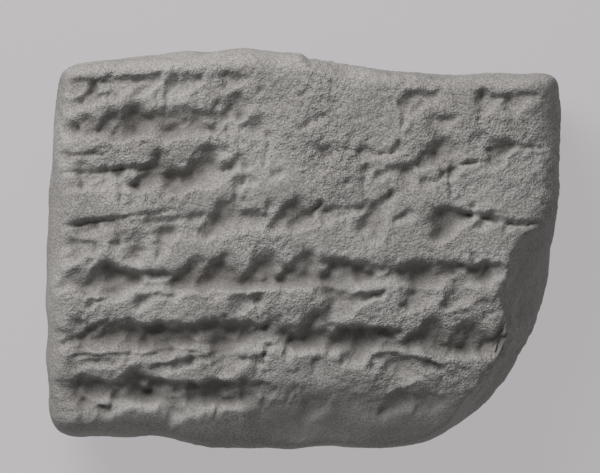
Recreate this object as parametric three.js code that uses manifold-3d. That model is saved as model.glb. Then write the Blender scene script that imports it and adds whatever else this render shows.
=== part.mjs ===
// A small clay cuneiform tablet that lies on its back with the written face up.
// Millimetres. +X runs along the lines of writing, +Y towards the upper edge, +Z up.
// The origin is under the middle of the tablet, on the flat spot that it rests on.

import * as THREE from 'three';
import { ConvexGeometry } from 'three/addons/geometries/ConvexGeometry.js';
import { mergeVertices } from 'three/addons/utils/BufferGeometryUtils.js';
import Module from 'manifold-3d';

const wasm = await Module();
wasm.setup();

// Driving sizes
const LENGTH = 54;
const HEIGHT = 41.6;
const THICKNESS = 20.8; // of the smooth cushion: the waves in the face stand a little proud
const FACE_CROWN = 1.2; // how far the middle of the written face stands above its rim
const BACK_CROWN = 2.4; // the same on the fuller back
const LOWER_FALL = 0.0075; // how fast the lower half of the face falls away, per mm squared
const REST_CUT = 0.4; // what the flat spot takes off the back
const RIM_REACH = 4; // how far in from the side the rounding of the rim starts
const TOP_RIM_REACH = 2.2; // the same at the tighter upper rim
const RIM_DROP = 7.6; // how far down the side it runs
const RIM_SQUARENESS = 2.6; // 2 is a round rim, more is squarer
const CORNER_SQUARENESS = 3.2; // the same for the corners in plan
const CRISP_SQUARENESS = 6; // and for the upper left corner, the crispest one

// The grid of the body, in steps
const FLAT_STEPS = { x: 21, y: 16, z: 1 };
const RIM_STEPS = 3;

// Where the writing sits
const FIRST_COLUMN = -25;
const COLUMN = 1;
const COLUMNS = 52;

const half = { x: LENGTH / 2, y: HEIGHT / 2, z: (THICKNESS + REST_CUT - FACE_CROWN - BACK_CROWN) / 2 };
const inner = { x: half.x - RIM_REACH, y: half.y - RIM_REACH, z: half.z - RIM_DROP };
const middleHeight = BACK_CROWN - REST_CUT + half.z;

function smoothstep(from, to, value) {
  const t = THREE.MathUtils.clamp((value - from) / (to - from), 0, 1);
  return t * t * (3 - 2 * t);
}

// A repeatable number from 0 to 1 for each seed
function hash(seed) {
  const value = Math.sin(seed * 12.9898) * 43758.5453;
  return value - Math.floor(value);
}

// The four sides in plan, each across from the middle line
function leftEdge(y) {
  return -half.x + 0.0024 * (y + 6) ** 2;
}

function rightEdge(y) {
  return half.x - 0.0012 * (y - 8) ** 2;
}

function topEdge(x) {
  const leftFall = 0.0042 * Math.max(0, -4 - x) ** 2;
  const rightFall = 2.5 * smoothstep(-6, 20, x);
  return half.y - leftFall - rightFall;
}

function bottomEdge(x) {
  const leftRise = 1.2 * smoothstep(-9, -16, x);
  const rightRise = 0.022 * Math.max(0, x - 8) ** 2;
  return -half.y + leftRise + rightRise;
}

// The thin slab of clay lost along the upper edge, right of a sharp step
function flake(x, v) {
  return 0.65 * smoothstep(-0.4, 0.8, x) * (1 - smoothstep(9, 20, x)) * smoothstep(0.75, 1, v);
}

// Low waves left in the clay by the hand that shaped it
function waves(x, y) {
  const broad = Math.sin(0.31 * x + 0.7) * Math.sin(0.37 * y + 1.9);
  const short = Math.sin(0.83 * x + 0.45 * y) * Math.sin(0.71 * y - 0.3 * x + 2.2);
  return 0.16 * broad + 0.1 * short;
}

// The smooth worn swelling left of the middle of the face
function swelling(x, y) {
  return 0.45 * Math.exp(-(((x + 2.9) / 3) ** 2) - ((y - 6.8) / 1.9) ** 2);
}

// What the face gains or loses on top of its crown
function faceRelief(x, y) {
  return swelling(x, y) + waves(x, y) - LOWER_FALL * Math.min(0, y + 1) ** 2;
}

function crown(u, v) {
  return Math.max(0, 1 - u * u) * Math.max(0, 1 - v * v);
}

// How far over the rim a point is, from how far it is past the flat to the right and up
function planFall(overX, overY) {
  const squareness = overX < 0 && overY > 0 ? CRISP_SQUARENESS : CORNER_SQUARENESS;
  const corner = Math.abs(overX) ** squareness + Math.abs(overY) ** squareness;
  return corner ** (RIM_SQUARENESS / squareness);
}

// Draws the rounding of the upper rim together and lets the flat reach nearer to it
function tighterTop(y) {
  if (y > inner.y) {
    return half.y - ((half.y - y) * TOP_RIM_REACH) / RIM_REACH;
  }
  return y > 0 ? (y * (half.y - TOP_RIM_REACH)) / inner.y : y;
}

// The way back
function looserTop(y) {
  if (y > half.y - TOP_RIM_REACH) {
    return half.y - ((half.y - y) * RIM_REACH) / TOP_RIM_REACH;
  }
  return y > 0 ? (y * inner.y) / (half.y - TOP_RIM_REACH) : y;
}

// Grid lines across one direction: even steps on the flat, equal turns round each rim
function gridLines(innerHalf, reach, flatSteps) {
  const rim = [];
  for (let k = 1; k <= RIM_STEPS; k++) {
    rim.push(innerHalf + reach * Math.tan((k / RIM_STEPS) * (Math.PI / 4)));
  }
  const flat = [];
  for (let k = 0; k <= flatSteps; k++) {
    flat.push(innerHalf * (-1 + (2 * k) / flatSteps));
  }
  return [...rim.map((line) => -line).reverse(), ...flat, ...rim];
}

// Squeezes a block into the rounded cushion, then bends its four sides to the true outline
function shapePoint(block) {
  const core = {
    x: THREE.MathUtils.clamp(block.x, -inner.x, inner.x),
    y: THREE.MathUtils.clamp(block.y, -inner.y, inner.y),
    z: THREE.MathUtils.clamp(block.z, -inner.z, inner.z),
  };
  const out = new THREE.Vector3(
    (block.x - core.x) / RIM_REACH,
    (block.y - core.y) / RIM_REACH,
    (block.z - core.z) / RIM_DROP,
  );
  const sideways = planFall(out.x, out.y);
  out.divideScalar((sideways + Math.abs(out.z) ** RIM_SQUARENESS) ** (1 / RIM_SQUARENESS));
  const u = (core.x + out.x * RIM_REACH) / half.x;
  const v = tighterTop(core.y + out.y * RIM_REACH) / half.y;
  const lift = (core.z + out.z * RIM_DROP) / half.z;
  const x = THREE.MathUtils.lerp(leftEdge(v * half.y), rightEdge(v * half.y), (u + 1) / 2);
  const y = THREE.MathUtils.lerp(bottomEdge(x), topEdge(x), (v + 1) / 2) - flake(x, v);
  const fullness = lift > 0 ? FACE_CROWN : BACK_CROWN;
  let z = middleHeight + lift * (half.z + fullness * crown(u, v));
  z += Math.max(0, lift) * faceRelief(x, y);
  return new THREE.Vector3(x, y, z);
}

// The height of the written face, or of the back, over a point of the plan
function surfaceHeight(x, y, side) {
  const left = leftEdge(y);
  const u = (2 * (x - left)) / (rightEdge(y) - left) - 1;
  const bottom = bottomEdge(x);
  const v = (2 * (y - bottom)) / (topEdge(x) - bottom) - 1;
  const overX = (Math.sign(u) * Math.max(0, Math.abs(u) * half.x - inner.x)) / RIM_REACH;
  const loose = looserTop(v * half.y);
  const overY = (Math.sign(loose) * Math.max(0, Math.abs(loose) - inner.y)) / RIM_REACH;
  const fall = Math.min(1, planFall(overX, overY));
  const lift = (inner.z + RIM_DROP * (1 - fall) ** (1 / RIM_SQUARENESS)) / half.z;
  if (side < 0) {
    return middleHeight - lift * (half.z + BACK_CROWN * crown(u, v));
  }
  const whole = middleHeight + lift * (half.z + FACE_CROWN * crown(u, v) + faceRelief(x, y));
  return Math.min(whole, scarHeight(x, y));
}

// Booleans work on bare, shared corners
function solidFrom(geometry) {
  const bare = geometry.clone();
  bare.deleteAttribute('normal');
  bare.deleteAttribute('uv');
  const merged = mergeVertices(bare, 1e-4);
  return new wasm.Manifold(new wasm.Mesh({
    numProp: 3,
    vertProperties: new Float32Array(merged.attributes.position.array),
    triVerts: new Uint32Array(merged.index.array),
  }));
}

function geometryFrom(solid) {
  const mesh = solid.getMesh();
  const geometry = new THREE.BufferGeometry();
  geometry.setAttribute('position', new THREE.BufferAttribute(mesh.vertProperties, 3));
  geometry.setIndex(new THREE.BufferAttribute(mesh.triVerts, 1));
  return geometry;
}

// The cushion of clay, before anything is pressed into it or broken off it
function makeBody() {
  const lines = {
    x: gridLines(inner.x, RIM_REACH, FLAT_STEPS.x),
    y: gridLines(inner.y, RIM_REACH, FLAT_STEPS.y),
    z: gridLines(inner.z, RIM_DROP, FLAT_STEPS.z),
  };
  const steps = { x: lines.x.length - 1, y: lines.y.length - 1, z: lines.z.length - 1 };
  const geometry = new THREE.BoxGeometry(2, 2, 2, steps.x, steps.y, steps.z);
  const position = geometry.attributes.position;
  const lineAt = (axis, value) => lines[axis][Math.round(((value + 1) / 2) * steps[axis])];
  for (let i = 0; i < position.count; i++) {
    const block = {
      x: lineAt('x', position.getX(i)),
      y: lineAt('y', position.getY(i)),
      z: lineAt('z', position.getZ(i)),
    };
    const point = shapePoint(block);
    position.setXYZ(i, point.x, point.y, point.z);
  }
  return solidFrom(geometry);
}

// How fast a hollow opens outwards and upwards, on each side
const HOLLOW_FLARE = 0.8;
const HOLLOW_RISE = 0.12;

// A block whose inner side passes through two points of the plan at one height and leans
// inwards above it. What lies beyond that side is broken away, from a bit before the first
// point to a bit after the second. A hollow stands on that height, and opens outwards and
// upwards from there.
function breakBlock({ from, to, foot, inset, before, after, hollow }) {
  const size = 60;
  const start = new THREE.Vector3(from[0], from[1], foot);
  const end = new THREE.Vector3(to[0], to[1], foot);
  const along = end.clone().sub(start).normalize();
  const outward = new THREE.Vector3(-along.y, along.x, 0);
  const up = new THREE.Vector3(0, 0, THICKNESS - foot).addScaledVector(outward, -inset).normalize();
  const face = new THREE.Vector3().crossVectors(up, along);
  const length = start.distanceTo(end) + before + after;
  const geometry = new THREE.BoxGeometry(length, size, size);
  geometry.translate(length / 2 - before, size / 2, hollow ? size / 2 : 0);
  const position = geometry.attributes.position;
  for (let i = 0; hollow && i < position.count; i++) {
    const x = position.getX(i);
    const opening = HOLLOW_FLARE * position.getY(i) + HOLLOW_RISE * position.getZ(i);
    position.setX(i, x + Math.sign(x - length / 2 + before) * opening);
  }
  const placing = new THREE.Matrix4().makeBasis(along, face, up);
  placing.setPosition(start);
  geometry.applyMatrix4(placing);
  return solidFrom(geometry);
}

// The worn right rim, the hollow broken out of it, and the lost lower right corner
const CORNER_BREAKS = [
  { from: [27.2, 3.6], to: [25.9, -1.8], foot: 3, inset: 1.8, before: 20, after: 20 },
  { from: [26.2, -2.2], to: [25.3, -5.4], foot: 4, inset: 5.4, before: 0, after: 0, hollow: true },
  { from: [24.4, -8.6], to: [20.8, -14.6], foot: 2, inset: 2.8, before: 20, after: 20 },
  { from: [20.8, -14.6], to: [15.7, -19.9], foot: 2, inset: 2.6, before: 20, after: 20 },
];

// The scar along the lower edge slopes down from the face to the side
const SCAR = { start: -5.3, top: -13.4, height: 19.2, slope: 0.75 };

function scarHeight(x, y) {
  if (x < SCAR.start) {
    return THICKNESS + 1;
  }
  return SCAR.height + SCAR.slope * (y - SCAR.top);
}

function scarBlock() {
  const foot = SCAR.height - SCAR.slope * (SCAR.top + half.y);
  const inset = (THICKNESS - foot) / SCAR.slope;
  const outline = { from: [half.x, -half.y], to: [SCAR.start, -half.y], foot, inset };
  return breakBlock({ ...outline, before: 20, after: 0 });
}

// Rounded chips: where their centres lie and how wide they are
const CHIPS = [
  { centre: [28.4, 6.2, 15], radius: 2.4 },
  { centre: [27.2, 13.2, 18.6], radius: 1.9 },
  { centre: [-15.6, -21.4, 12], radius: 2.6 },
];

function chip({ centre, radius }) {
  const geometry = new THREE.IcosahedronGeometry(radius, 1);
  geometry.translate(...centre);
  return solidFrom(geometry);
}

// The kinds of stroke that one corner of a reed leaves. The angle points from head to tail.
const STROKES = {
  'h': { length: 3.4, width: 2.6, depth: 0.85, angle: 0 },
  'H': { length: 6.6, width: 4.0, depth: 1.35, angle: 0 },
  '-': { length: 4.8, width: 1.5, depth: 0.5, angle: 0 },
  '=': { length: 9.6, width: 1.9, depth: 0.6, angle: 4 },
  '~': { length: 7.6, width: 2.2, depth: 0.8, angle: -8 },
  'v': { length: 3.6, width: 2.5, depth: 0.85, angle: -90 },
  '|': { length: 3.8, width: 1.5, depth: 0.55, angle: -90 },
  'd': { length: 3.6, width: 2.9, depth: 1.0, angle: 225 },
  'D': { length: 4.8, width: 4.1, depth: 1.35, angle: 222 },
  'g': { length: 4.8, width: 2.2, depth: 0.9, angle: 30 },
  'G': { length: 5.6, width: 4.0, depth: 1.45, angle: 48 },
  '<': { length: 3.2, width: 3.2, depth: 1.1, angle: 180 },
  '@': { length: 5.4, width: 4.6, depth: 1.7, angle: 0 },
};

// The wall of a stroke towards the upper left is the steeper one
const STEEP_SIDE = new THREE.Vector2(-0.5, 0.87);
const STEEP_SHARE = 0.36;
const CLEARANCE = 1.2; // how far the cutter of a stroke rises above the clay

// The lines of writing, one sign to a column and dots for bare clay. Each runs from its
// height at the left margin to its height at the right, and arches between them.
const FACE_LINES = [
  { left: 17.2, right: 18.6, arch: 0, strokes: '..h.h..h.h...h....h' },
  { left: 15.4, right: 15.8, arch: 0, strokes: '..d........|.........................h......h..h' },
  { left: 12.7, right: 17.4, arch: 0, strokes: '..d..d.D..H..H...D' },
  { left: 12.2, right: 13.8, arch: 0, strokes: '...............h....<..............|...h' },
  { left: 9.8, right: 10.5, arch: 0, strokes: '..-.............h....|......h...h.....D......h.-' },
  { left: 7.9, right: 10.3, arch: 0, strokes: '......=..D....D...d' },
  { left: 7, right: 9.2, arch: 0, strokes: '............h......................<.....-' },
  { left: 6, right: 7.2, arch: 0, strokes: '......|..|.....................|........|' },
  { left: 2.2, right: 2.6, arch: 1.4, strokes: '......=....-....D...h..D.g...-..G.......@....~' },
  { left: 0.6, right: 1.4, arch: 0, strokes: '..h....<..v' },
  { left: -2.9, right: -2, arch: 0.7, strokes: '.d..D...H....D..D...D...D.....H.......H....<.h' },
  { left: -5, right: -4.4, arch: 0, strokes: '.....-....-........h..........H.....d...d' },
  { left: -8.4, right: -9.6, arch: 0.8, strokes: '.d.g..h..H..H.....H..d...D......H....D...D...D' },
  { left: -10.2, right: -10.6, arch: 0, strokes: '.......|.........h.............h' },
  { left: -11.2, right: -11.6, arch: 0, strokes: '.....=........=...h.................H' },
  { left: -13.8, right: -14.4, arch: 0, strokes: '...H...D...H....H...h' },
  { left: -16.2, right: -15, arch: 0, strokes: '...h..-.....h.............h.......d...h' },
];

// The tablet was turned over its lower edge, so the writing goes on there and stops early
const BACK_LINES = [
  { left: -15.4, right: -15.2, arch: 0, strokes: '......h...v..d....h...|.' },
  { left: -12.2, right: -12.6, arch: 0, strokes: '....d...h....|...h..-....v..h' },
];

// The upper middle of the face has been rubbed almost smooth
function strength(x, y) {
  return 1 - 0.45 * Math.exp(-(((x - 1) / 11) ** 2) - ((y - 13) / 7) ** 2);
}

// One stroke is a wide, deep head and a thin tail that runs out of it
function strokeSolids(x, y, kind, seed, side) {
  const worn = strength(x, y) * (0.9 + 0.25 * hash(seed));
  const angle = THREE.MathUtils.degToRad(kind.angle + 16 * (hash(seed + 1) - 0.5));
  const along = new THREE.Vector2(Math.cos(angle), Math.sin(angle) * side);
  const across = new THREE.Vector2(-along.y, along.x);
  if (across.dot(STEEP_SIDE) < 0) {
    across.negate();
  }
  const headLength = Math.min(kind.length, 1.25 * kind.width);
  const headX = x - (along.x * kind.length) / 2;
  const headY = y - (along.y * kind.length) / 2;
  const wedge = (length, width, depth) => {
    const deepest = length * 0.3;
    const corner = (forward, aside, sunk) => {
      const px = headX + along.x * forward + across.x * aside;
      const py = headY + along.y * forward + across.y * aside;
      return new THREE.Vector3(px, py, surfaceHeight(px, py, side) - side * sunk);
    };
    const bottom = corner(deepest, 0, depth);
    const steep = corner(0, width * STEEP_SHARE, 0);
    const gentle = corner(0, width * (STEEP_SHARE - 1), 0);
    const rim = [steep, gentle, corner(length, 0, 0)];
    const above = rim.map((point) => point.clone().setZ(point.z + side * CLEARANCE));
    return solidFrom(new ConvexGeometry([bottom, ...rim, ...above]));
  };
  const parts = [wedge(headLength, kind.width * worn, kind.depth * worn)];
  if (kind.length > headLength) {
    parts.push(wedge(kind.length, kind.width * 0.45 * worn, kind.depth * 0.55 * worn));
  }
  return parts;
}

function lineSolids(line, number, side) {
  const solids = [];
  [...line.strokes].forEach((sign, column) => {
    if (!(sign in STROKES)) {
      return;
    }
    const across = column / COLUMNS;
    const x = FIRST_COLUMN + COLUMN * column;
    const bow = line.arch * 4 * across * (1 - across);
    const y = THREE.MathUtils.lerp(line.left, line.right, across) + bow;
    solids.push(...strokeSolids(x, y, STROKES[sign], number * 100 + column, side));
  });
  return solids;
}

// Everything under the flat spot, which the back's fullest part stands on
function floorBlock() {
  const geometry = new THREE.BoxGeometry(3 * LENGTH, 3 * LENGTH, THICKNESS);
  geometry.translate(0, 0, -THICKNESS / 2);
  return solidFrom(geometry);
}

function makeTablet() {
  const cutters = [floorBlock(), scarBlock(), ...CORNER_BREAKS.map(breakBlock), ...CHIPS.map(chip)];
  FACE_LINES.forEach((line, number) => cutters.push(...lineSolids(line, number, 1)));
  BACK_LINES.forEach((line, number) => cutters.push(...lineSolids(line, FACE_LINES.length + number, -1)));
  const removed = wasm.Manifold.union(cutters);
  return geometryFrom(makeBody().subtract(removed));
}

const clay = new THREE.MeshStandardMaterial({ color: 0x8c8985, roughness: 0.95, metalness: 0 });
const tablet = new THREE.Mesh(makeTablet(), clay);
tablet.name = 'clay_tablet';

const group = new THREE.Group();
group.add(tablet);

export default group;
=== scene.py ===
"""A small worn clay cuneiform tablet that lies on its back, with a plain studio round it."""

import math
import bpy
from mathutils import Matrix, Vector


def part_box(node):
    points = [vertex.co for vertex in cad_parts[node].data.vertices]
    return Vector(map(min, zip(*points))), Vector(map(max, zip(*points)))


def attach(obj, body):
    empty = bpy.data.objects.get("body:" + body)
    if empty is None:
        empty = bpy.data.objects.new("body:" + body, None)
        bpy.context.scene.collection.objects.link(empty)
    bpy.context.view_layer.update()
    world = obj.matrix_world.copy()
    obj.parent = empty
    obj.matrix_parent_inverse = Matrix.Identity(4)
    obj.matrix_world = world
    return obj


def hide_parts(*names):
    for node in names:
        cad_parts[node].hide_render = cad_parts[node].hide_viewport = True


bl_info = {
    "name": "Clay Cuneiform Tablet",
    "version": (1, 0, 0),
    "blender": (4, 5, 0),
    "location": "3D View > Sidebar > Tablet",
    "description": "Builds a worn clay tablet with rows of pressed strokes, and a studio for it",
    "category": "Object",
}

import bpy
import numpy as np
from bpy.props import FloatProperty, FloatVectorProperty, IntProperty, PointerProperty
from mathutils import Euler, Vector

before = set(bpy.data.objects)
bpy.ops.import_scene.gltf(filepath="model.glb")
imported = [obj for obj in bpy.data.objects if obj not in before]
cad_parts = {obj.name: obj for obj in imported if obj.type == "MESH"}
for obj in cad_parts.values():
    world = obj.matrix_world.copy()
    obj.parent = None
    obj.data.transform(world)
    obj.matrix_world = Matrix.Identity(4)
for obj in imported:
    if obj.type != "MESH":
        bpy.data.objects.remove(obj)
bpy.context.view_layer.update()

NODE = "clay_tablet"
BODY = "root"

MM = 0.001
LOW, HIGH = (np.array(corner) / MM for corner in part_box(NODE))

# The tablet's plan and section, in millimetres. The crowns are how far the middle of the face
# and of the back stands out, and the rest cut is what the flat resting patch takes off.
HALF_X = (HIGH[0] - LOW[0]) / 2
HALF_Y = (HIGH[1] - LOW[1]) / 2
THICKNESS = 20.8
FACE_CROWN = 1.2
BACK_CROWN = 2.4
REST_CUT = 0.4
RIM_REACH = 4.0
TOP_RIM_REACH = 2.2
RIM_DROP = 7.6
RIM_SQUARENESS = 2.6
CORNER_SQUARENESS = 3.2
CRISP_SQUARENESS = 6.0
HALF_Z = (THICKNESS + REST_CUT - FACE_CROWN - BACK_CROWN) / 2
INNER_X = HALF_X - RIM_REACH
INNER_Y = HALF_Y - RIM_REACH
INNER_Z = HALF_Z - RIM_DROP
MIDDLE_HEIGHT = BACK_CROWN - REST_CUT + HALF_Z
CORE = np.array([0.0, 0.0, MIDDLE_HEIGHT])

# The four edges of the outline: how fast each one bends, from where, and how far an end rises
# or falls over its span
LEFT_BEND = 0.0024
LEFT_MIDDLE = -6
RIGHT_BEND = 0.0012
RIGHT_MIDDLE = 8
TOP_BEND = 0.0042
TOP_BEND_START = -4
TOP_FALL = 2.5
TOP_FALL_SPAN = (-6, 20)
BOTTOM_RISE = 1.2
BOTTOM_RISE_SPAN = (-9, -16)
BOTTOM_BEND = 0.022
BOTTOM_BEND_START = 8

# The lower part of the face falls away: how fast, and from where in plan
LOWER_FALL = 0.0075
LOWER_FALL_START = -1

# The slab lost along the upper edge: its depth, the sharp step at its left, its fading right
# end, and the share of the plan's half height over which it deepens
FLAKE_DEPTH = 0.65
FLAKE_STEP = (-0.4, 0.8)
FLAKE_FADE = (9, 20)
FLAKE_HEIGHT = (0.75, 1)

# The smooth swelling in the upper middle of the face: height, centre and radii
SWELLING = (0.45, (-2.9, 6.8), 3.0, 1.9)

# Heights of the waves left in the clay by the hand that shaped it
BROAD_WAVES = 0.16
SHORT_WAVES = 0.1

# Flat faces of the breaks: two points in plan at a height, and how far the face leans in at
# the top. One that ends is a hollow between its two points.
BREAKS = [
    {"start": (27.2, 3.6), "end": (25.9, -1.8), "foot": 3, "inset": 1.8, "ends": False},
    {"start": (26.2, -2.2), "end": (25.3, -5.4), "foot": 4, "inset": 5.4, "ends": True},
    {"start": (24.4, -8.6), "end": (20.8, -14.6), "foot": 2, "inset": 2.8, "ends": False},
    {"start": (20.8, -14.6), "end": (15.7, -19.9), "foot": 2, "inset": 2.6, "ends": False},
]

# How fast the hollow opens outwards and upwards, and between which limits it ends
HOLLOW_FLARE = 0.8
HOLLOW_RISE = 0.12
HOLLOW_END = (-1.5, 2.2)

# The scar that slopes down from the face to the lower side: its upper edge in plan, the height
# and slope there, and its left end, which leans and is ragged
SCAR = {"top": -13.4, "height": 19.2, "slope": 0.75, "start": -5.3, "start_y": -16, "lean": 0.35}
SCAR_UNEVENNESS = 0.8
SCAR_RAGGED = 40
SCAR_END = (-0.8, 0.8)

# A break is worked out as the share of the way from the core that is left, and this many
# millimetres make about one share. The roundings of its corners are shares too, and so is the
# loss at which nothing is left of the old skin.
MM_A_SHARE = 30
BREAK_ROUNDING = 0.06
SCAR_ROUNDING = 0.03
FULLY_LOST = 0.05

# Rounded chips: centre and radius
CHIPS = [
    ((28.4, 6.2, 15.0), 2.4),
    ((27.2, 13.2, 18.6), 1.9),
    ((-15.6, -21.4, 12.0), 2.6),
]

# Kinds of stroke: length, width, depth and the angle from head to tail in degrees
STROKES = {
    "h": (3.4, 2.3, 1.2, 0),
    "H": (6.6, 3.4, 1.9, 0),
    "-": (4.8, 1.4, 0.75, 0),
    "=": (9.6, 1.8, 0.9, 4),
    "v": (3.6, 2.3, 1.2, -90),
    "|": (3.8, 1.4, 0.8, -90),
    "d": (3.6, 2.6, 1.4, 225),
    "D": (4.8, 3.7, 1.9, 222),
    "g": (4.8, 2.0, 1.3, 30),
    "G": (5.8, 3.6, 2.1, 48),
    "<": (3.2, 3.0, 1.5, 180),
    "@": (4.4, 3.4, 2.6, 0),
}

# Layers of crumbling: height, size of the largest lumps, octaves and seed. The heights of
# those of the breaks are shares of the way from the core, and the others are in millimetres.
# The wobbles shift the writing sideways and up and down.
UNEVEN_BREAKS = [(0.012, 5.0, 3, 11), (0.004, 1.1, 2, 14)]
WOBBLE_X = [(0.3, 2.2, 1, 41), (0.2, 0.9, 2, 42)]
WOBBLE_Y = [(0.3, 2.2, 1, 43), (0.2, 0.9, 2, 44)]
UNDULATION = [(0.25, 4.0, 1, 51), (0.08, 2.6, 1, 50)]
CRUMBS = [(0.1, 1.7, 2, 52)]

# How a stroke is worn. Its wall towards the upper left is the steep one. The wall share is the
# part of the width that lies on that side, and the wall ends at its own share of the width.
# The head's length and slope are multiples of its width, and the tail's width and depth are
# shares of the head's.
STEEP_SIDE = np.array([-0.5, 0.87])
WALL_SHARE = 0.25
WALL_END = 0.36
WORN_WIDENING = 1.2
HEAD_LENGTH = 1.5
HEAD_SLOPE = (-0.12, 0.45)
TAIL_WIDTH = 0.6
TAIL_DEPTH = 0.7
TAIL_THINNING = 0.6
TAIL_SHALLOWING = 0.4
TAIL_END = 0.3
DEEPEST = 3.0

# How a stroke differs from the others of its kind: pressure, and turn in degrees
LIGHTEST_PRESS = 0.9
PRESS_SPREAD = 0.25
STROKE_TURN = 16

# Where the strokes have been rubbed down: the share taken off, centre and radii
RUBBED = (0.45, (1.0, 13.0), 11.0, 7.0)

# Small strokes scattered over the bare columns: the share of columns that have one, their
# kinds, their size beside a full one, and how far they wander from the line
SMALL_STROKES = 0.2
SMALL_KINDS = "h|dv"
SMALL_SIZE = 0.55
SMALL_WANDER = 1.6

# Lines of writing: height at the left and right margins, arch between them, and one sign to
# a column a millimetre wide, with dots for bare clay
FIRST_COLUMN = -25.0
COLUMNS = 52
FACE_LINES = [
    (17.2, 18.6, 0.0, "..h.h..h.h...h....h"),
    (15.4, 15.8, 0.0, "..d........|.........................h......h..h"),
    (12.7, 17.4, 0.0, "..d..d.D..H..H...D"),
    (12.2, 13.8, 0.0, "...............h....<..............|...h"),
    (9.8, 10.5, 0.0, "..-.............h....|......h...h.....D......h.-"),
    (7.9, 10.3, 0.0, "......=..D....D...d"),
    (7.0, 9.2, 0.0, "............h......................<.....-"),
    (6.0, 7.2, 0.0, "......|..|.....................|........|"),
    (2.2, 2.6, 1.4, "......=....-....D...h..D.g...-..G.......@......"),
    (0.6, 1.4, 0.0, "..h....<..v"),
    (-2.9, -2.0, 0.7, ".d..D...H....D..D...D...D.....H.......H....<.h"),
    (-5.0, -4.4, 0.0, ".....-....-........h..........H.....d...d"),
    (-8.4, -9.6, 0.8, ".d.g..h..H..H.....H..d...D......H....D...D...D"),
    (-10.2, -10.6, 0.0, ".......|.........h.............h"),
    (-11.2, -11.6, 0.0, ".....=........=...h.................H"),
    (-13.8, -14.4, 0.0, "...H...D...H....H...h"),
    (-16.2, -15.0, 0.0, "...h..-.....h.............h.......d...h"),
]
BACK_LINES = [
    (-15.4, -15.2, 0.0, "......h...v..d....h...|."),
    (-12.2, -12.6, 0.0, "....d...h....|...h..-....v..h"),
]


def smoothstep(start, end, value):
    """0 before start, 1 after end, and an even turn between."""
    t = np.clip((value - start) / (end - start), 0, 1)
    return t * t * (3 - 2 * t)


def spot(x, y, centre, radius_x, radius_y):
    """A soft oval patch that is 1 at its centre."""
    return np.exp(-(((x - centre[0]) / radius_x) ** 2) - ((y - centre[1]) / radius_y) ** 2)


def hashed(seed):
    """A repeatable number from 0 to 1."""
    value = math.sin(seed * 12.9898) * 43758.5453
    return value - math.floor(value)


def lattice(x, y, z, seed):
    """A repeatable number from -1 to 1 at every whole point of space."""
    bits = (x * 374761393 + y * 668265263 + z * 1440662683 + seed * 974634777) & 0xFFFFFFFF
    bits = ((bits ^ (bits >> 13)) * 1274126177) & 0xFFFFFFFF
    return ((bits ^ (bits >> 16)) & 0xFFFF) / 32767.5 - 1


def turned(points, seed):
    """The points turned a way of the seed's own, so that no two noises share a grain."""
    turn = Euler((1.1 * seed, 0.7 * seed, 1.9 * seed)).to_matrix()
    return points @ np.array(turn)


def lumps(points, size, seed):
    """Smooth random hills and hollows of about the given size, from -1 to 1."""
    cell = turned(points, seed) / size
    corner = np.floor(cell).astype(np.int64)
    t = cell - corner
    t = t * t * t * (t * (t * 6 - 15) + 10)
    total = np.zeros(len(points))
    for dx in (0, 1):
        for dy in (0, 1):
            for dz in (0, 1):
                share = t[:, 0] if dx else 1 - t[:, 0]
                share = share * (t[:, 1] if dy else 1 - t[:, 1])
                share = share * (t[:, 2] if dz else 1 - t[:, 2])
                x, y, z = (corner + (dx, dy, dz)).T
                total += share * lattice(x, y, z, seed)
    return total


def crumble(points, size, octaves, seed):
    """Lumps on lumps, each layer half the size and half the height of the last."""
    total = np.zeros(len(points))
    for octave in range(octaves):
        total += lumps(points, size / 2**octave, seed + octave) / 2**octave
    return total


def layered(points, layers):
    """Several crumbles together."""
    return sum(height * crumble(points, *layer) for height, *layer in layers)


def pits(points, size, share, seed):
    """Separate round hollows, one at most in each cell. 1 is the bottom of the deepest."""
    cell = np.floor(points / size).astype(np.int64)
    deepest = np.zeros(len(points))
    for dx in (-1, 0, 1):
        for dy in (-1, 0, 1):
            for dz in (-1, 0, 1):
                near = cell + (dx, dy, dz)
                x, y, z = near.T
                wander = [lattice(x, y, z, seed + k) for k in range(5)]
                centre = (near + 0.5 + PIT_WANDER * np.stack(wander[:3], axis=1)) * size
                radius = size * (PIT_RADIUS[0] + PIT_RADIUS[1] * wander[3])
                bowl = 1 - ((points - centre) ** 2).sum(axis=1) / radius**2
                bowl = np.where(wander[4] < 2 * share - 1, bowl, 0)
                fullness = PIT_FULLNESS[0] + PIT_FULLNESS[1] * wander[3]
                deepest = np.maximum(deepest, bowl * fullness)
    return deepest


def left_edge(y):
    return -HALF_X + LEFT_BEND * (y - LEFT_MIDDLE) ** 2


def right_edge(y):
    return HALF_X - RIGHT_BEND * (y - RIGHT_MIDDLE) ** 2


def top_edge(x):
    left_fall = TOP_BEND * np.maximum(0, TOP_BEND_START - x) ** 2
    right_fall = TOP_FALL * smoothstep(*TOP_FALL_SPAN, x)
    return HALF_Y - left_fall - right_fall


def bottom_edge(x):
    left_rise = BOTTOM_RISE * smoothstep(*BOTTOM_RISE_SPAN, x)
    right_rise = BOTTOM_BEND * np.maximum(0, x - BOTTOM_BEND_START) ** 2
    return -HALF_Y + left_rise + right_rise


def flake(x, v):
    """The thin slab of clay lost along the upper edge, right of a sharp step."""
    length = smoothstep(*FLAKE_STEP, x) * (1 - smoothstep(*FLAKE_FADE, x))
    return FLAKE_DEPTH * length * smoothstep(*FLAKE_HEIGHT, v)


def lower_fall(y):
    """How far the lower part of the face falls away."""
    return LOWER_FALL * np.minimum(0, y - LOWER_FALL_START) ** 2


def waves(x, y):
    """Low waves that cross each other and nowhere line up."""
    broad = np.sin(0.31 * x + 0.7) * np.sin(0.37 * y + 1.9)
    short = np.sin(0.83 * x + 0.45 * y) * np.sin(0.71 * y - 0.3 * x + 2.2)
    return BROAD_WAVES * broad + SHORT_WAVES * short


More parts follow.
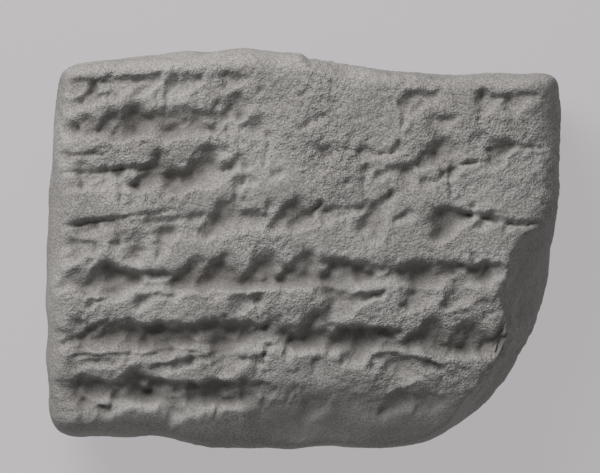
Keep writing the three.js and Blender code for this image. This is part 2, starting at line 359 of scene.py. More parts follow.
def crown(u, v):
    """The even bulge of the face or the back, 1 in the middle and 0 along the edges."""
    return np.maximum(0, 1 - u * u) * np.maximum(0, 1 - v * v)


def tighter_top(y):
    """Draws the rounding of the upper rim together and lets the flat reach nearer to it."""
    rim = HALF_Y - (HALF_Y - y) * TOP_RIM_REACH / RIM_REACH
    flat = y * (HALF_Y - TOP_RIM_REACH) / INNER_Y
    return np.where(y > INNER_Y, rim, np.where(y > 0, flat, y))


def grid_lines(inner, reach, flat_steps, rim_steps):
    """Lines across one direction: even steps on the flat, equal turns round each rim."""
    turns = np.arange(1, rim_steps + 1) / rim_steps * (math.pi / 4)
    rim = inner + reach * np.tan(turns)
    flat = np.linspace(-inner, inner, flat_steps + 1)
    return np.concatenate([-rim[::-1], flat, rim])


def cushion(block):
    """Squeezes points of a block into a rounded cushion with the tablet's true outline."""
    core = np.clip(block, (-INNER_X, -INNER_Y, -INNER_Z), (INNER_X, INNER_Y, INNER_Z))
    reach = np.array([RIM_REACH, RIM_REACH, RIM_DROP])
    out = (block - core) / reach
    crisp = (out[:, 0] < 0) & (out[:, 1] > 0)
    squareness = np.where(crisp, CRISP_SQUARENESS, CORNER_SQUARENESS)
    corner = np.abs(out[:, 0]) ** squareness + np.abs(out[:, 1]) ** squareness
    sideways = corner ** (RIM_SQUARENESS / squareness)
    out /= ((sideways + np.abs(out[:, 2]) ** RIM_SQUARENESS) ** (1 / RIM_SQUARENESS))[:, None]
    spread = core + out * reach
    spread[:, 1] = tighter_top(spread[:, 1])
    u, v, lift = spread[:, 0] / HALF_X, spread[:, 1] / HALF_Y, spread[:, 2] / HALF_Z
    left, right = left_edge(v * HALF_Y), right_edge(v * HALF_Y)
    x = left + (right - left) * (u + 1) / 2
    bottom, top = bottom_edge(x), top_edge(x)
    y = bottom + (top - bottom) * (v + 1) / 2 - flake(x, v)
    fullness = np.where(lift > 0, FACE_CROWN, BACK_CROWN)
    z = MIDDLE_HEIGHT + lift * (HALF_Z + fullness * crown(u, v))
    height, *place = SWELLING
    swelling = height * spot(x, y, *place)
    z += np.maximum(0, lift) * (swelling + waves(x, y) - lower_fall(y))
    return np.stack([x, y, z], axis=1)


# --- The blank: one closed mesh, fine over the face and coarser round the back --------------

# Steps over the flat of the face and round its rim in plan, and the same down the sides
FINE_STEPS = (254, 184)
FINE_RIM_STEPS = 12
SIDE_FLAT_STEPS = 4
SIDE_RIM_STEPS = 14


def ring(xs, ys):
    """Plan points round the sides of a block, anticlockwise from its lower left corner."""
    sides = [(x, ys[0]) for x in xs[:-1]]
    sides += [(xs[-1], y) for y in ys[:-1]]
    sides += [(x, ys[-1]) for x in xs[:0:-1]]
    sides += [(xs[0], y) for y in ys[:0:-1]]
    return np.array(sides)


def sheet_of(xs, ys, z):
    """Points of a flat grid at one height, row by row."""
    across, up = np.meshgrid(xs, ys)
    return np.stack([across.ravel(), up.ravel(), np.full(across.size, z)], axis=1)


def border(columns, rows):
    """Which points of such a grid lie on its border, in the order of ring()."""
    index = np.arange(columns * rows).reshape(rows, columns)
    return np.concatenate([index[0, :-1], index[:-1, -1], index[-1, :0:-1], index[:0:-1, 0]])


def grid_faces(columns, rows):
    """Quads between the points of such a grid."""
    index = np.arange(columns * rows).reshape(rows, columns)
    corners = [index[:-1, :-1], index[:-1, 1:], index[1:, 1:], index[1:, :-1]]
    return np.stack([corner.ravel() for corner in corners], axis=1)


def blank():
    """Block points, quads and triangles of the tablet before it is shaped."""
    xs = grid_lines(INNER_X, RIM_REACH, FINE_STEPS[0], FINE_RIM_STEPS)
    ys = grid_lines(INNER_Y, RIM_REACH, FINE_STEPS[1], FINE_RIM_STEPS)
    zs = grid_lines(INNER_Z, RIM_DROP, SIDE_FLAT_STEPS, SIDE_RIM_STEPS)[::-1]
    face = sheet_of(xs, ys, zs[0])
    points, quads, triangles = [face], [grid_faces(len(xs), len(ys))], []
    above, count = border(len(xs), len(ys)), len(face)
    fine_rings = SIDE_RIM_STEPS + SIDE_FLAT_STEPS // 2
    for number, z in enumerate(zs[1:], start=1):
        if number == fine_rings:
            xs, ys = xs[::2], ys[::2]
        if number < len(zs) - 1:
            plan = ring(xs, ys)
            below = count + np.arange(len(plan))
            points.append(np.column_stack([plan, np.full(len(plan), z)]))
        else:
            back = sheet_of(xs, ys, z)
            below = count + border(len(xs), len(ys))
            points.append(back)
            quads.append(count + grid_faces(len(xs), len(ys))[:, ::-1])
        count += len(points[-1])
        onward = np.roll(below, -1)
        if number == fine_rings:
            first, middle, last = above[::2], above[1::2], np.roll(above[::2], -1)
            triangles.append(np.stack([below, middle, first], axis=1))
            triangles.append(np.stack([below, onward, middle], axis=1))
            triangles.append(np.stack([onward, last, middle], axis=1))
        else:
            quads.append(np.stack([below, onward, np.roll(above, -1), above], axis=1))
        above = below
    return np.concatenate(points), np.concatenate(quads), np.concatenate(triangles)


def edges_of(quads, triangles):
    """Every edge once or twice, as pairs of points."""
    loops = [quads[:, (k, (k + 1) % 4)] for k in range(4)]
    loops += [triangles[:, (k, (k + 1) % 3)] for k in range(3)]
    return np.concatenate(loops)


def normals_of(points, quads, triangles):
    """The outward direction at every point."""
    total = np.zeros_like(points)
    first, second, third, fourth = (points[corner] for corner in quads.T)
    across = np.cross(third - first, fourth - second)
    first, second, third = (points[corner] for corner in triangles.T)
    slant = np.cross(second - first, third - first)
    for faces, normal in ((quads, across), (triangles, slant)):
        for corner in faces.T:
            for axis in range(3):
                total[:, axis] += np.bincount(corner, normal[:, axis], len(points))
    return total / np.linalg.norm(total, axis=1)[:, None]


def averaged(values, edges, passes):
    """Evens a value out with its neighbours."""
    starts, ends = edges.T
    count = len(values)
    links = np.bincount(starts, minlength=count) + np.bincount(ends, minlength=count)
    for _ in range(passes):
        onward = np.bincount(starts, values[ends], count)
        around = onward + np.bincount(ends, values[starts], count)
        values = (values + around / links) / 2
    return values


# --- Breaks and chips: each pulls points in towards the core ---------------------------------


def share_to_plane(points, origin, normal):
    """The share of the way from the core to each point that a plane leaves: below 1 for a
    point past the plane, and above 1 for one that it doesn't reach."""
    toward = (points - CORE) @ normal
    reach = (origin - CORE) @ normal
    left = reach / np.maximum(toward, 1e-9)
    return np.where(toward > reach, left, 1 + (reach - toward) / MM_A_SHARE)


def softer(first, second, width):
    """The smaller of two, with the corner between them rounded over."""
    blend = np.maximum(width - np.abs(first - second), 0) / width
    return np.minimum(first, second) - blend * blend * width / 4


def flat_break(points, uneven, face):
    """The share that one flat face of the breaks leaves."""
    start = np.array([*face["start"], face["foot"]])
    along = np.array([*face["end"], face["foot"]]) - start
    length = np.linalg.norm(along)
    along /= length
    outward = np.array([-along[1], along[0], 0])
    up = np.array([0, 0, THICKNESS - face["foot"]]) - outward * face["inset"]
    up /= np.linalg.norm(up)
    normal = np.cross(up, along)
    cut = share_to_plane(points, start, normal) + uneven
    if face["ends"]:
        past = (points - start) @ along + MM_A_SHARE * uneven
        opening = HOLLOW_FLARE * ((points - start) @ normal)
        opening += HOLLOW_RISE * ((points - start) @ up)
        inside = np.minimum(past, length - past) + opening
        cut = 1 + (cut - 1) * smoothstep(*HOLLOW_END, inside)
    return cut


def scar(points, uneven):
    """The share that the sloping scar leaves."""
    origin = np.array([0, SCAR["top"], SCAR["height"]])
    normal = np.array([0, -SCAR["slope"], 1])
    cut = share_to_plane(points, origin, normal) + uneven * SCAR_UNEVENNESS
    landed = CORE + (points - CORE) * cut[:, None]
    leaning = SCAR["lean"] * (landed[:, 1] - SCAR["start_y"])
    side = landed[:, 0] - SCAR["start"] + leaning + SCAR_RAGGED * uneven
    return 1 + (cut - 1) * smoothstep(*SCAR_END, side)


def chip(points, centre, radius):
    """The share that a rounded chip leaves, which is 1 for the points that it misses."""
    offset = points - CORE
    middle = np.array(centre) - CORE
    length = (offset**2).sum(axis=1)
    nearest = offset @ middle / length
    gap = radius**2 - (middle @ middle - nearest**2 * length)
    hit = nearest - np.sqrt(np.maximum(gap, 0) / length)
    return np.where((gap > 0) & (nearest > 0.5), hit, 1)


def broken(points):
    """Points after the breaks and chips, and how much each has lost, from 0 to 1."""
    share = np.ones(len(points))
    uneven = layered(points, UNEVEN_BREAKS)
    for face in BREAKS:
        share = softer(share, flat_break(points, uneven, face), BREAK_ROUNDING)
    share = softer(share, scar(points, uneven), SCAR_ROUNDING)
    for centre, radius in CHIPS:
        share = np.minimum(share, chip(points, centre, radius))
    lost = smoothstep(0.0, FULLY_LOST, 1 - share)
    return CORE + (points - CORE) * share[:, None], lost


# --- The writing -----------------------------------------------------------------------------


def section(across):
    """Depth across a stroke, from its upper edge at 0 to its lower one at 1: a worn steep
    wall, and a floor that rises more and more."""
    rise = np.clip((across - WALL_END) / (1 - WALL_END), 0, 1) ** 3
    return smoothstep(0, WALL_END, across) * (1 - rise)


def valley(across):
    """Depth across a trough: a long worn fall from its upper edge and a steeper rise."""
    return smoothstep(0, TROUGH_FLOOR[0], across) * (1 - smoothstep(TROUGH_FLOOR[1], 1, across))


def dent(forward, aside, length, width, depth):
    """A worn stroke: deep and wide by the head, shallow and thin at the tail. The positive side
    is its steep wall."""
    along = np.clip(forward / length, 0, 1)
    head = smoothstep(HEAD_SLOPE[0] * width, HEAD_SLOPE[1] * width, forward)
    thinning = 1 - TAIL_THINNING * smoothstep(0.25, 1.0, along)
    across = WALL_SHARE - aside / (WORN_WIDENING * width * thinning)
    tail = 1 - TAIL_SHALLOWING * smoothstep(0.2, 1.0, along)
    end = smoothstep(-TAIL_END, TAIL_END, length - forward)
    return depth * head * tail * end * section(across)


def strength(x, y):
    """How much of a stroke is left: the upper middle of the face has been rubbed down."""
    rubbed, *place = RUBBED
    return 1 - rubbed * spot(x, y, *place)


def press(depths, x, y, middle, kind, seed, side, share=1.0):
    """Presses one stroke, a wide deep head and a thin tail, into a sheet of depths."""
    length, width, depth, degrees = kind
    worn = share * strength(*middle) * (LIGHTEST_PRESS + PRESS_SPREAD * hashed(seed))
    length, width, depth = length * share, width * worn, depth * worn
    angle = math.radians(degrees + STROKE_TURN * (hashed(seed + 1) - 0.5))
    along = np.array([math.cos(angle), math.sin(angle) * side])
    aside_way = np.array([-along[1], along[0]])
    if aside_way @ STEEP_SIDE < 0:
        aside_way = -aside_way
    near = (np.abs(x - middle[0]) < length) & (np.abs(y - middle[1]) < length)
    if not near.any():
        return
    offset = np.stack([x[near], y[near]], axis=1) - middle
    forward = offset @ along + length / 2
    aside = offset @ aside_way
    head = dent(forward, aside, min(length, HEAD_LENGTH * width), width, depth)
    tail = dent(forward, aside, length, TAIL_WIDTH * width, TAIL_DEPTH * depth)
    depths[near] += np.maximum(head, tail)


def height_on(line, across):
    """Where a line of writing lies in plan, from 0 at the left margin to 1 at the right."""
    left, right, arch, _ = line
    return left + (right - left) * across + arch * 4 * across * (1 - across)


def write(depths, x, y, lines, first, side):
    """Presses every stroke of the lines, and a scatter of small ones between them. The side is
    1 for the face and -1 for the back, whose strokes run the other way up."""
    for number, line in enumerate(lines, start=first):
        for column, sign in enumerate(line[3]):
            seed = number * 100 + column
            middle = np.array([FIRST_COLUMN + column, height_on(line, column / COLUMNS)])
            if sign in STROKES:
                press(depths, x, y, middle, STROKES[sign], seed, side)
            elif hashed(seed + 0.5) < SMALL_STROKES:
                kind = SMALL_KINDS[int(len(SMALL_KINDS) * hashed(seed + 0.7))]
                middle[1] += SMALL_WANDER * (hashed(seed + 0.9) - 0.5)
                press(depths, x, y, middle, STROKES[kind], seed, side, SMALL_SIZE)


# --- The worn surface ------------------------------------------------------------------------

# Long troughs that the lines of writing lie in: line number, left, right and depth
TROUGHS = [
    (2, -24.0, -6.0, 0.8),
    (5, -25.5, -10.0, 0.6),
    (8, -25.5, -6.0, 0.5),
    (10, -24.5, 21.0, 1.0),
    (12, -24.5, 21.0, 1.3),
    (15, -24.5, -4.0, 1.3),
]

# A trough's width, where across it the fall ends and the rise starts, how much it follows the
# wobble of the writing, how gently it starts and ends, how uneven it is along its length, and
# how much shallower it is where strokes are pressed in it
TROUGH_WIDTH = 3.4
TROUGH_FLOOR = (0.65, 0.72)
TROUGH_WOBBLE = 0.8
TROUGH_START = 2
TROUGH_END = 3
TROUGH_EVENNESS = 0.8
TROUGH_SPREAD = 0.9
TROUGH_LIMITS = (0.1, 1.4)
TROUGH_LUMPS = 2.8
TROUGH_IN_STROKE = 0.4

# Thin ruled lines: left end, right end, width and depth
RULES = [
    ((-25.0, 7.6), (-13.9, 8.3), 0.5, 0.5),
    ((-25.2, 2.1), (-12.8, 3.9), 0.5, 0.55),
    ((-24.8, -11.2), (-9.6, -10.6), 0.45, 0.5),
    ((16.2, 3.4), (25.2, 2.1), 0.7, 0.8),
    ((1.9, 3.9), (6.4, 4.2), 0.5, 0.5),
    ((14.2, 8.8), (18.0, 8.7), 0.5, 0.5),
    ((18.5, 10.9), (21.4, 10.7), 0.5, 0.5),
]
RULE_WOBBLE = 0.5

# Porous patches where the skin of the clay is gone: centre and radii
POROUS = [
    ((-21.0, 17.5), 2.2, 1.4),
    ((-17.0, 17.6), 2.6, 1.2),
    ((-11.6, 17.2), 1.8, 1.2),
    ((20.0, 12.2), 5.5, 2.6),
    ((16.0, -9.0), 8.0, 4.5),
    ((4.0, 9.0), 4.0, 3.0),
]

# Patches that handling has left smooth
SMOOTH = [
    ((-2.9, 6.8), 3.6, 2.2),
    ((6.8, -3.6), 3.2, 1.6),
    ((-6.0, -18.5), 26.0, 2.6),
    ((-26.5, 0.0), 1.6, 22.0),
    ((-12.0, 20.0), 14.0, 1.4),
]

# How coarse the skin is: on the whole, its clouds, at a porous patch, at a smooth one, and its
# limits
EVEN_ROUGHNESS = 0.75
ROUGHNESS_SPREAD = 0.35
ROUGHNESS_CLOUDS = 5.0
POROUS_ROUGHNESS = 0.45
SMOOTHING = 0.75
ROUGHNESS_LIMITS = (0.15, 1.8)

# The small relief of the skin. The last three are of the pits: how far each one wanders in its
# cell, and the middle and spread of the radii and of the fullness.
GRAIN_HEIGHT = 0.08
GRAIN_SIZE = 0.5
FLECK_DEPTH = 0.15
FLECK_SIZE = 0.55
FLECK_CLOUDS = 1.4
PIT_DEPTH = 0.1
PIT_SPACING = 1.4
PIT_SHARE = 0.25
PIT_WANDER = 0.35
PIT_RADIUS = (0.38, 0.2)
PIT_FULLNESS = (0.7, 0.3)

# The writing is worn unevenly: its middle depth, the spread, and the size of the worn spots. It
# is on the parts of the skin that face up or down by more than these limits.
WORN_DEPTH = 0.9
WORN_SPREAD = 0.35
WORN_SPOTS = 1.1
FACING = (0.35, 0.75)

# The shares of the writing and the roughness that a break takes away, and of the roughness that
# a stroke does, with the depths at which a stroke is smoothest and its painted shade darkest
WRITING_LOST = 0.5
ROUGHNESS_LOST = 0.4
ROUGHNESS_PRESSED = 0.6
SMOOTHEST_DEPTH = 1.5
DARKEST_DEPTH = 1.6

# How many times the breaks are evened out, and the surface that hollows are measured from,
# and the depth of a hollow that counts in full
WEAR_PASSES = 2
HOLLOW_PASSES = 3
HOLLOW_DEPTH = 0.12


def roughness_of(points):
    """How coarse the skin of the clay is, about 1 on the bare face."""
    x, y, _ = points.T
    rough = EVEN_ROUGHNESS + ROUGHNESS_SPREAD * lumps(points, ROUGHNESS_CLOUDS, seed=31)
    for place in POROUS:
        rough += POROUS_ROUGHNESS * spot(x, y, *place)
    for place in SMOOTH:
        rough *= 1 - SMOOTHING * spot(x, y, *place)
    return np.clip(rough, *ROUGHNESS_LIMITS)


def trough(points, y, number, start, end, depth):
    """Depths of the long trough that one line of writing lies in."""
    x = points[:, 0]
    over = y - height_on(FACE_LINES[number], np.clip((x - FIRST_COLUMN) / COLUMNS, 0, 1))
    along = smoothstep(start, start + TROUGH_START, x) * (1 - smoothstep(end - TROUGH_END, end, x))
    uneven = TROUGH_EVENNESS + TROUGH_SPREAD * lumps(points, TROUGH_LUMPS, seed=45 + number)
    uneven = np.clip(uneven, *TROUGH_LIMITS)
    return depth * uneven * along * valley(WALL_SHARE - over / TROUGH_WIDTH)


def rule(x, y, start, end, width, depth):
    """Depths of one thin ruled line, which is steeper below than above."""
    along = (x - start[0]) / (end[0] - start[0])
    over = y - start[1] - (end[1] - start[1]) * along
    shape = np.where(over > 0, smoothstep(width, 0, over), smoothstep(-0.5 * width, 0, over))
    return depth * shape * smoothstep(0, 0.1, along) * smoothstep(1, 0.9, along)


def writing_depths(points, normals):
    """How deep the strokes and the troughs are at every point, on the face and on the back."""
    x, y, _ = points.T
    wobble_x, wobble_y = layered(points, WOBBLE_X), layered(points, WOBBLE_Y)
    face, back = np.zeros(len(x)), np.zeros(len(x))
    write(face, x + wobble_x, y + wobble_y, FACE_LINES, first=0, side=1)
    write(back, x + wobble_x, y + wobble_y, BACK_LINES, first=len(FACE_LINES), side=-1)
    face, back = (DEEPEST * (1 - np.exp(-pressed / DEEPEST)) for pressed in (face, back))
    for line in TROUGHS:
        face += trough(points, y + TROUGH_WOBBLE * wobble_y, *line) / (1 + TROUGH_IN_STROKE * face)
    for line in RULES:
        face += rule(x, y + RULE_WOBBLE * wobble_y, *line)
    worn = WORN_DEPTH + WORN_SPREAD * lumps(points, WORN_SPOTS, seed=63)
    up = smoothstep(*FACING, normals[:, 2])
    down = smoothstep(*FACING, -normals[:, 2])
    return (face * up + back * down) * worn


def grit(points, rough):
    """Height of the uneven, crumbly skin."""
    grains = smoothstep(0.2, 0.5, lumps(points, GRAIN_SIZE, seed=58))
    return layered(points, UNDULATION) + rough * (layered(points, CRUMBS) + GRAIN_HEIGHT * grains)


def holes(points):
    """Depth of the round pits and of the ragged flecks, which come in clouds."""
    clouds = lumps(points, FLECK_SIZE, seed=71) + 0.5 * lumps(points, FLECK_CLOUDS, seed=72)
    flecks = FLECK_DEPTH * smoothstep(0.2, 0.5, clouds)
    return PIT_DEPTH * pits(points, PIT_SPACING, PIT_SHARE, seed=61) + flecks


def tablet_mesh(look):
    """Points, faces and surface values of the finished tablet."""
    block, quads, triangles = blank()
    edges = edges_of(quads, triangles)
    points, lost = broken(cushion(block))
    lost = averaged(lost, edges, WEAR_PASSES)
    for axis in range(3):
        points[:, axis] = averaged(points[:, axis], edges, WEAR_PASSES)
    normals = normals_of(points, quads, triangles)
    writing = writing_depths(points, normals) * (1 - WRITING_LOST * lost)
    writing = averaged(writing, edges, look.softness)
    rough = roughness_of(points) * (1 - ROUGHNESS_LOST * lost)
    rough = rough * (1 - ROUGHNESS_PRESSED * np.clip(writing / SMOOTHEST_DEPTH, 0, 1))
    raised = grit(points, rough) - holes(points) * (rough * look.pitting)
    raised = raised - look.stroke_depth * writing
    shaped = np.clip(points + normals * raised[:, None], LOW, HIGH)
    normals = normals_of(shaped, quads, triangles)
    around = [averaged(shaped[:, axis], edges, HOLLOW_PASSES) for axis in range(3)]
    sunk = ((np.stack(around, axis=1) - shaped) * normals).sum(axis=1)
    # hollow and pressed only feed the colour: painted shade in the hollows and strokes, and a
    # painted highlight on the ridges
    values = {
        "hollow": np.clip(sunk / HOLLOW_DEPTH, -1, 1),
        "lost": lost,
        "pressed": np.clip(writing / DARKEST_DEPTH, 0, 1),
        "rough": rough,
    }
    return shaped, quads, triangles, values


# --- Shader maths ----------------------------------------------------------------------------


class Value:
    """A number that changes over the surface. Python's operators add the nodes for it."""

    def __init__(self, graph, socket):
        self.graph = graph
        self.socket = socket

    def __add__(self, other):
        return self.graph.node("ShaderNodeMath", {"operation": "ADD"}, {0: self, 1: other})

    def __mul__(self, other):
        return self.graph.node("ShaderNodeMath", {"operation": "MULTIPLY"}, {0: self, 1: other})

    __radd__ = __add__
    __rmul__ = __mul__


class Graph:
    """The node tree of one material."""

    def __init__(self, material):
        material.use_nodes = True
        self.tree = material.node_tree
        self.shader = self.tree.nodes["Principled BSDF"]

    def node(self, kind, settings=None, sockets=None, output=0):
        """Adds a node: its settings first, then the values or links of its sockets."""
        node = self.tree.nodes.new(kind)
        for name, setting in (settings or {}).items():
            setattr(node, name, setting)
        for name, value in (sockets or {}).items():
            self.feed(node.inputs[name], value)
        return Value(self, node.outputs[output])

    def feed(self, socket, value):
        """Links a value to a socket, or sets the socket to a plain one."""
        if isinstance(value, Value):
            self.tree.links.new(value.socket, socket)
        else:
            socket.default_value = value

    def step(self, value, start, end):
        """Turns a value between start and end into one between 0 and 1."""
        sockets = {"Value": value, "From Min": start, "From Max": end}
        return self.node("ShaderNodeMapRange", {"interpolation_type": "SMOOTHSTEP"}, sockets)

    def mixed(self, share, first, second):
        """A colour between two."""
        sockets = {0: share, 6: first, 7: second}
        return self.node("ShaderNodeMix", {"data_type": "RGBA"}, sockets, output=2)

    def noise(self, where, size, detail, roughness=0.55):
        """Cloudy noise with features of a size in millimetres."""
        sockets = {"Vector": where, "Scale": 1 / size, "Detail": detail, "Roughness": roughness}
        return self.node("ShaderNodeTexNoise", None, sockets)

    def cells(self, where, size):
        """Distance to the nearest of many scattered points, as a share of their spacing."""
        return self.node("ShaderNodeTexVoronoi", None, {"Vector": where, "Scale": 1 / size})

    def surface_value(self, name):
        """A value stored on the mesh."""
        return self.node("ShaderNodeAttribute", {"attribute_name": name}, output=2)


# Sizes in the clay's colour and grain, in millimetres
CLOUD_SIZE = 9
SPECKLE_SIZE = 0.2
SHEEN_SIZE = 2.0
GRAIN_BUMP_SIZE = 0.26
GRAIN_BUMP_HEIGHT = 0.25
PINHOLE_SPACING = 0.5
PINHOLE_DEPTH = 0.07
DRY_SPECULAR = 0.25


def clay_material(look):
    """Dry, matte clay: mottled and speckled, with a painted highlight on the ridges and painted
    shade in the hollows and strokes, gritty all over.
    """
    material = bpy.data.materials.new("dry_clay")
    graph = Graph(material)
    place = graph.node("ShaderNodeTexCoord", output=3)
    to_mm = {0: place, 1: (1 / MM, 1 / MM, 1 / MM)}
    where = graph.node("ShaderNodeVectorMath", {"operation": "MULTIPLY"}, to_mm)
    hollow = graph.surface_value("hollow")
    mottle = graph.step(graph.noise(where, CLOUD_SIZE, 3), 0.35, 0.7)
    speckle = graph.noise(where, SPECKLE_SIZE, 1, 0.7)
    pale_specks = graph.step(speckle, 0.42, 0.68)
    dark_specks = graph.step(speckle, 0.55, 0.32)
    # Painted highlight: the ridges are made paler by the hollow measure, with some of the mottle
    # mixed in
    dust_and_highlight = graph.step(hollow * -1, 0.05, 0.8) * 0.7 + mottle * 0.3
    # Painted shade: the hollows are darkened by how far they are sunk, broken up by the speckle
    grime_and_shade = graph.step(hollow + speckle * 0.5, 0.45, 1.1)
    # Painted shade: the strokes are darkened by how deep they are pressed
    painted_stroke_shade = graph.step(graph.surface_value("pressed"), 0.1, 1.0)
    colour = graph.mixed(mottle, (*look.clay, 1), (*look.clay_pale, 1))
    for share, tint in (
        (pale_specks * 0.6, look.dust_and_highlight),
        (dark_specks * 0.5, look.grime_and_shade),
        (dust_and_highlight * 0.5, look.dust_and_highlight),
        (graph.surface_value("lost") * 0.35, look.clay),
        (grime_and_shade * 0.8, look.grime_and_shade),
        (painted_stroke_shade * 0.55, look.grime_and_shade),
    ):
        colour = graph.mixed(share, colour, (*tint, 1))
    graph.feed(graph.shader.inputs["Base Color"], colour)
    graph.feed(graph.shader.inputs["Roughness"], 0.8 + graph.noise(where, SHEEN_SIZE, 2) * 0.2)
    graph.feed(graph.shader.inputs["Specular IOR Level"], DRY_SPECULAR)
    grains = graph.noise(where, GRAIN_BUMP_SIZE, 1, 0.7) * GRAIN_BUMP_HEIGHT
    pinholes = graph.step(graph.cells(where, PINHOLE_SPACING), 0.0, 0.3) * PINHOLE_DEPTH
    height = (grains + pinholes) * graph.surface_value("rough")
    bump = graph.node("ShaderNodeBump", None, {"Strength": 1.0, "Distance": MM, "Height": height})
    graph.feed(graph.shader.inputs["Normal"], bump)
    return material


def plain_material(name, colour, roughness, glow):
    """One even colour that may give light of its own."""
    material = bpy.data.materials.new(name)
    graph = Graph(material)
    graph.feed(graph.shader.inputs["Base Color"], (*colour, 1))
    graph.feed(graph.shader.inputs["Roughness"], roughness)
    graph.feed(graph.shader.inputs["Emission Color"], (*colour, 1))
    graph.feed(graph.shader.inputs["Emission Strength"], glow)
    return material


# --- What a user can change ------------------------------------------------------------------


class TabletLook(bpy.types.PropertyGroup):
    """Sizes and colours of the clay."""

    stroke_depth: FloatProperty(
        name="Stroke depth",
        description="How deep the strokes are, as a share of newly pressed ones",
        default=1.0, min=0, max=1.5, subtype="FACTOR",
    )
    pitting: FloatProperty(
        name="Pitting",
        description="How deep the pits in the worn skin are",
        default=1.0, min=0, max=3, subtype="FACTOR",
    )
    softness: IntProperty(
        name="Softness",
        description="How many times the edges of the strokes are worn down",
        default=1, min=0, max=12,
    )
    clay: FloatVectorProperty(
        name="Clay",
        description="The body of the clay",
        default=(0.27, 0.258, 0.245), min=0, max=1, subtype="COLOR", size=3,
    )
    clay_pale: FloatVectorProperty(
        name="Pale clay",
        description="The paler clouds in the clay",
        default=(0.33, 0.318, 0.305), min=0, max=1, subtype="COLOR", size=3,
    )
    # The pale specks and the painted highlight on the ridges both take this colour
    dust_and_highlight: FloatVectorProperty(
        name="Dust",
        description="Dust on the ridges",
        default=(0.42, 0.408, 0.395), min=0, max=1, subtype="COLOR", size=3,
    )
    # The dark specks and the painted shade in the hollows and strokes all take this colour
    grime_and_shade: FloatVectorProperty(
        name="Grime",
        description="Dirt in the hollows",
        default=(0.13, 0.12, 0.108), min=0, max=1, subtype="COLOR", size=3,
    )


class StudioLook(bpy.types.PropertyGroup):
    """The floor, the lights and the camera."""

    floor: FloatVectorProperty(
        name="Floor",
        description="Colour of the floor",
        default=(0.085, 0.083, 0.0845), min=0, max=1, subtype="COLOR", size=3,
    )
    floor_glow: FloatProperty(
        name="Floor glow",
        description="How much light the floor gives of its own",
        default=4.9, min=0, max=10,
    )
    key_power: FloatProperty(
        name="Key light",
        description="Power of the low light from the upper left",
        default=1.7, min=0, unit="POWER",
    )
    key_height: FloatProperty(
        name="Key height",
        description="Angle of the low light above the floor",
        default=math.radians(40), min=0, max=math.pi / 2, subtype="ANGLE",
    )
    key_bearing: FloatProperty(
        name="Key bearing",
        description="Side that the low light comes from, counted anticlockwise from the right",
        default=math.radians(122), min=0, max=math.tau, subtype="ANGLE",
    )
    fill: FloatProperty(
        name="Fill",
        description="Strength of the even light from all sides",
        default=0.2, min=0, max=2,
    )
    camera_distance: FloatProperty(
        name="Camera distance",
        description="Height of the camera over the middle of the tablet",
        default=0.8, min=0.1, unit="LENGTH",
    )


# The studio, in metres apart from the camera's sensor, which is in millimetres. The view is
# this many times as wide as the tablet, and is shifted a little off its middle.
FLOOR_EDGE = 3.0
FLOOR_ROUGHNESS = 0.9
KEY_SIZE = 0.24
KEY_DISTANCE = 0.38
FILL_COLOUR = (1, 0.99, 1, 1)
SENSOR_WIDTH = 36
VIEW_WIDTH = 1.1472
VIEW_SHIFT_X = -0.36 * MM
VIEW_SHIFT_Y = 1.24 * MM


# --- Making the pieces -----------------------------------------------------------------------


class TABLET_OT_clay(bpy.types.Operator):
    """Makes the clay tablet with its writing, wear and breaks"""

    bl_idname = "tablet.clay"
    bl_label = "Clay tablet"

    def execute(self, context):
        look = context.scene.tablet_look
        points, quads, triangles, values = tablet_mesh(look)
        mesh = bpy.data.meshes.new("tablet_clay")
        mesh.from_pydata((points * MM).tolist(), [], [*quads.tolist(), *triangles.tolist()])
        for name, numbers in values.items():
            layer = mesh.attributes.new(name, "FLOAT", "POINT")
            layer.data.foreach_set("value", numbers)
        mesh.shade_smooth()
        mesh.materials.append(clay_material(look))
        piece = bpy.data.objects.new("tablet_clay", mesh)
        context.scene.collection.objects.link(piece)
        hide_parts(NODE)
        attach(piece, BODY)
        return {"FINISHED"}


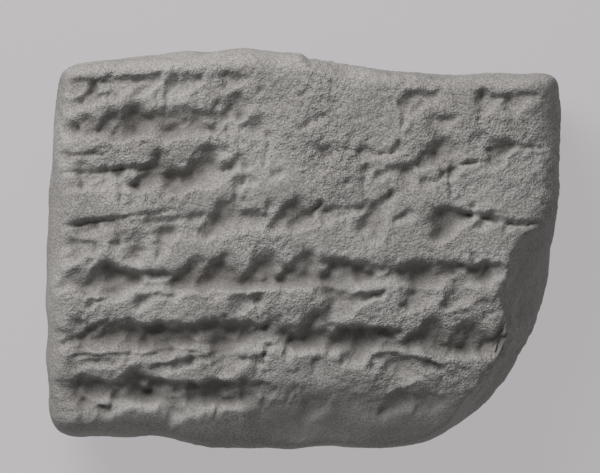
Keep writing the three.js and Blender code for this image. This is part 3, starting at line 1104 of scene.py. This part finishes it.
class TABLET_OT_studio(bpy.types.Operator):
    """Makes the plain pale floor, the low light, the even light and the camera"""

    bl_idname = "tablet.studio"
    bl_label = "Studio"

    def execute(self, context):
        look = context.scene.studio_look
        scene = context.scene
        middle = Vector((0, 0, MIDDLE_HEIGHT * MM))
        self.add_floor(scene, look)
        self.add_lights(scene, look, middle)
        self.add_camera(scene, look, middle)
        return {"FINISHED"}

    def add_floor(self, scene, look):
        """A wide sheet that glows a little, so that it stays even."""
        mesh = bpy.data.meshes.new("floor")
        low, high = -FLOOR_EDGE, FLOOR_EDGE
        corners = [(low, low, 0), (high, low, 0), (high, high, 0), (low, high, 0)]
        mesh.from_pydata(corners, [], [(0, 1, 2, 3)])
        paper = plain_material("floor_paper", look.floor, FLOOR_ROUGHNESS, look.floor_glow)
        mesh.materials.append(paper)
        floor = bpy.data.objects.new("floor", mesh)
        scene.collection.objects.link(floor)

    def add_lights(self, scene, look, middle):
        """One low light that rakes over the face, and an even one from all sides."""
        level = math.cos(look.key_height)
        toward = Vector((
            math.cos(look.key_bearing) * level,
            math.sin(look.key_bearing) * level,
            math.sin(look.key_height),
        ))
        lamp = bpy.data.lights.new("key_light", "AREA")
        lamp.energy = look.key_power
        lamp.size = KEY_SIZE
        key = bpy.data.objects.new("key_light", lamp)
        key.location = middle + toward * KEY_DISTANCE
        key.rotation_euler = (-toward).to_track_quat("-Z", "Y").to_euler()
        scene.collection.objects.link(key)

        world = bpy.data.worlds.new("even_light")
        world.use_nodes = True
        background = world.node_tree.nodes["Background"]
        background.inputs["Color"].default_value = FILL_COLOUR
        background.inputs["Strength"].default_value = look.fill
        scene.world = world
        scene.view_settings.view_transform = "Standard"

    def add_camera(self, scene, look, middle):
        """A camera that looks straight down."""
        lens = bpy.data.cameras.new("camera")
        lens.sensor_width = SENSOR_WIDTH
        view_width = (HIGH[0] - LOW[0]) * VIEW_WIDTH * MM
        lens.lens = SENSOR_WIDTH * look.camera_distance / view_width
        camera = bpy.data.objects.new("camera", lens)
        camera.location = middle + Vector((VIEW_SHIFT_X, VIEW_SHIFT_Y, look.camera_distance))
        scene.collection.objects.link(camera)
        scene.camera = camera


class TABLET_PT_panel(bpy.types.Panel):
    """Lists the pieces and their settings"""

    bl_idname = "TABLET_PT_panel"
    bl_label = "Clay tablet"
    bl_space_type = "VIEW_3D"
    bl_region_type = "UI"
    bl_category = "Tablet"

    def draw(self, context):
        for settings, operator in (
            (context.scene.tablet_look, TABLET_OT_clay),
            (context.scene.studio_look, TABLET_OT_studio),
        ):
            box = self.layout.box()
            for name in settings.__annotations__:
                box.prop(settings, name)
            box.operator(operator.bl_idname)


CLASSES = (TabletLook, StudioLook, TABLET_OT_clay, TABLET_OT_studio, TABLET_PT_panel)


def register():
    for made in CLASSES:
        bpy.utils.register_class(made)
    bpy.types.Scene.tablet_look = PointerProperty(type=TabletLook)
    bpy.types.Scene.studio_look = PointerProperty(type=StudioLook)


def unregister():
    del bpy.types.Scene.studio_look
    del bpy.types.Scene.tablet_look
    for made in reversed(CLASSES):
        bpy.utils.unregister_class(made)


def main():
    register()
    bpy.ops.tablet.clay()
    bpy.ops.tablet.studio()


if __name__ == "__main__":
    main()
